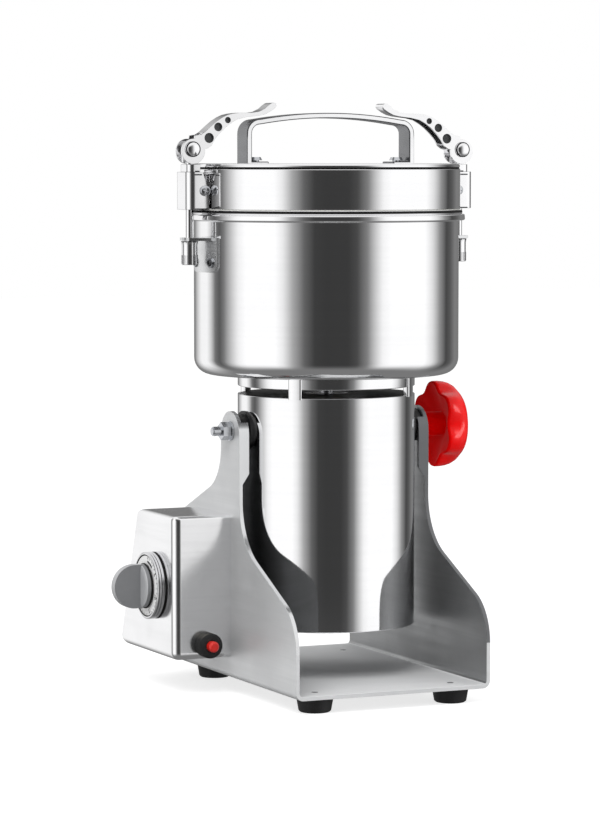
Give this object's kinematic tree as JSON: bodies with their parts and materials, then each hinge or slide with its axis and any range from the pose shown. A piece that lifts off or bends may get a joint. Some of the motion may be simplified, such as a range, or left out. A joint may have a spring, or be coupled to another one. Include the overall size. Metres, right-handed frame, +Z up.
{
  "type": "electric grain mill",
  "caption": "Tilting electric grain mill: polished steel bowl with clamped lid over a tube motor, hung between bent steel uprights with a control box, timer and red lock knob.",
  "frame": {"origin": "centre of the bounding box on the table", "axes": "+Z up; the pivot runs along X with the lock knob on +X; the front of the base faces -Y"},
  "size_m": [0.2374, 0.202, 0.3772],
  "materials": {
    "satin_steel": "satin",
    "rubber": "matte",
    "zinc_screw": "satin",
    "box_steel": "satin",
    "dial": "satin",
    "knob_grey": "satin",
    "moulded_black": "matte",
    "button_red": "gloss",
    "polished_steel": "polished",
    "cast_alloy": "satin",
    "core_steel": "satin",
    "copper": "satin",
    "brass": "satin",
    "carbon": "matte",
    "shaft_steel": "polished",
    "silicone": "satin",
    "lock_red": "gloss"
  },
  "bodies": {
    "base": {"base_frame": "satin_steel", "rubber_feet": "rubber", "foot_screws": "zinc_screw", "control_box": "box_steel", "box_screws": "zinc_screw", "lead_grommet": "rubber", "mains_bush": "rubber", "timer_dial": "dial", "timer_body": "moulded_black", "breaker_body": "moulded_black", "breaker_boot": "rubber"},
    "mill": {"motor_housing": "polished_steel", "motor_bottom_cover": "cast_alloy", "motor_top_plate": "cast_alloy", "neck_ring": "polished_steel", "trunnion_bosses": "cast_alloy", "stator_core": "core_steel", "stator_windings": "copper", "brush_holders": "brass", "carbon_brushes": "carbon", "upper_bearing": "shaft_steel", "lower_bearing": "shaft_steel", "bowl": "polished_steel", "shaft_seal": "brass", "bowl_catches": "polished_steel", "catch_rivets": "zinc_screw", "lid_shell": "polished_steel", "lid_gasket": "silicone", "lid_handle": "polished_steel", "handle_screws": "zinc_screw", "lid_ears": "polished_steel", "pivot_bolt": "zinc_screw", "pivot_nut": "zinc_screw", "pivot_washer": "zinc_screw", "lock_stud": "zinc_screw"},
    "rotor": {"motor_shaft": "shaft_steel", "rotor_core": "core_steel", "commutator": "copper", "cooling_fan": "moulded_black", "lower_blade": "shaft_steel", "blade_spacer": "shaft_steel", "upper_blade": "shaft_steel", "blade_nut": "shaft_steel"},
    "timer": {"timer_knob": "knob_grey"},
    "reset": {"reset_button": "button_red"},
    "lock": {"lock_knob": "lock_red"},
    "left_clamp": {"left_strap": "polished_steel", "left_swing_screw": "zinc_screw", "left_saddle": "polished_steel"},
    "left_draw_rod": {"left_rod": "polished_steel", "left_rod_nut": "polished_steel", "left_lever_pin": "polished_steel"},
    "left_cam_lever": {"left_lever": "polished_steel"},
    "right_clamp": {"right_strap": "polished_steel", "right_swing_screw": "zinc_screw", "right_saddle": "polished_steel"},
    "right_draw_rod": {"right_rod": "polished_steel", "right_rod_nut": "polished_steel", "right_lever_pin": "polished_steel"},
    "right_cam_lever": {"right_lever": "polished_steel"}
  },
  "joints": [
    {"name": "mill_tilt", "type": "hinge", "parent": "base", "child": "mill", "pos_m": [0.01629, 0, 0.169], "axis": [1, 0, 0], "range_deg": [-60, 100]},
    {"name": "rotor_spin", "type": "hinge", "parent": "mill", "child": "rotor", "pos_m": [0.01629, 0, 0.2042], "axis": [0, 0, 1], "continuous": true},
    {"name": "timer_turn", "type": "hinge", "parent": "base", "child": "timer", "pos_m": [-0.09041, 0.0325, 0.0685], "axis": [1, 0, 0], "range_deg": [0, 300]},
    {"name": "reset_press", "type": "slide", "parent": "base", "child": "reset", "axis": [0, 1, 0], "range_m": [0, 0.003], "stiffness_N_per_m": 300, "springref_m": -0.002},
    {"name": "lock_turn", "type": "hinge", "parent": "mill", "child": "lock", "pos_m": [0.09629, 0, 0.169], "axis": [1, 0, 0], "continuous": true},
    {"name": "left_strap_swing", "type": "hinge", "parent": "mill", "child": "left_clamp", "pos_m": [-0.07271, 0, 0.3216], "axis": [0, 1, 0], "range_deg": [0, 18.1]},
    {"name": "left_rod_drop", "type": "slide", "parent": "left_clamp", "child": "left_draw_rod", "axis": [0, 0, -1], "range_m": [0, 0.00268]},
    {"name": "left_lever_turn", "type": "hinge", "parent": "left_draw_rod", "child": "left_cam_lever", "pos_m": [-0.07871, 0, 0.34772], "axis": [0, -1, 0], "range_deg": [0, 140]},
    {"name": "right_strap_swing", "type": "hinge", "parent": "mill", "child": "right_clamp", "pos_m": [0.10529, 0, 0.3216], "axis": [0, -1, 0], "range_deg": [0, 18.1]},
    {"name": "right_rod_drop", "type": "slide", "parent": "right_clamp", "child": "right_draw_rod", "axis": [0, 0, -1], "range_m": [0, 0.00268]},
    {"name": "right_lever_turn", "type": "hinge", "parent": "right_draw_rod", "child": "right_cam_lever", "pos_m": [0.11129, 0, 0.34772], "axis": [0, 1, 0], "range_deg": [0, 140]}
  ],
  "couplings": [
    {"joint": "left_strap_swing", "follows": "left_lever_turn", "ratio": 0.12857},
    {"joint": "left_rod_drop", "follows": "left_lever_turn", "m_per_rad": 0.0010763},
    {"joint": "right_strap_swing", "follows": "right_lever_turn", "ratio": 0.12857},
    {"joint": "right_rod_drop", "follows": "right_lever_turn", "m_per_rad": 0.0010763}
  ]
}
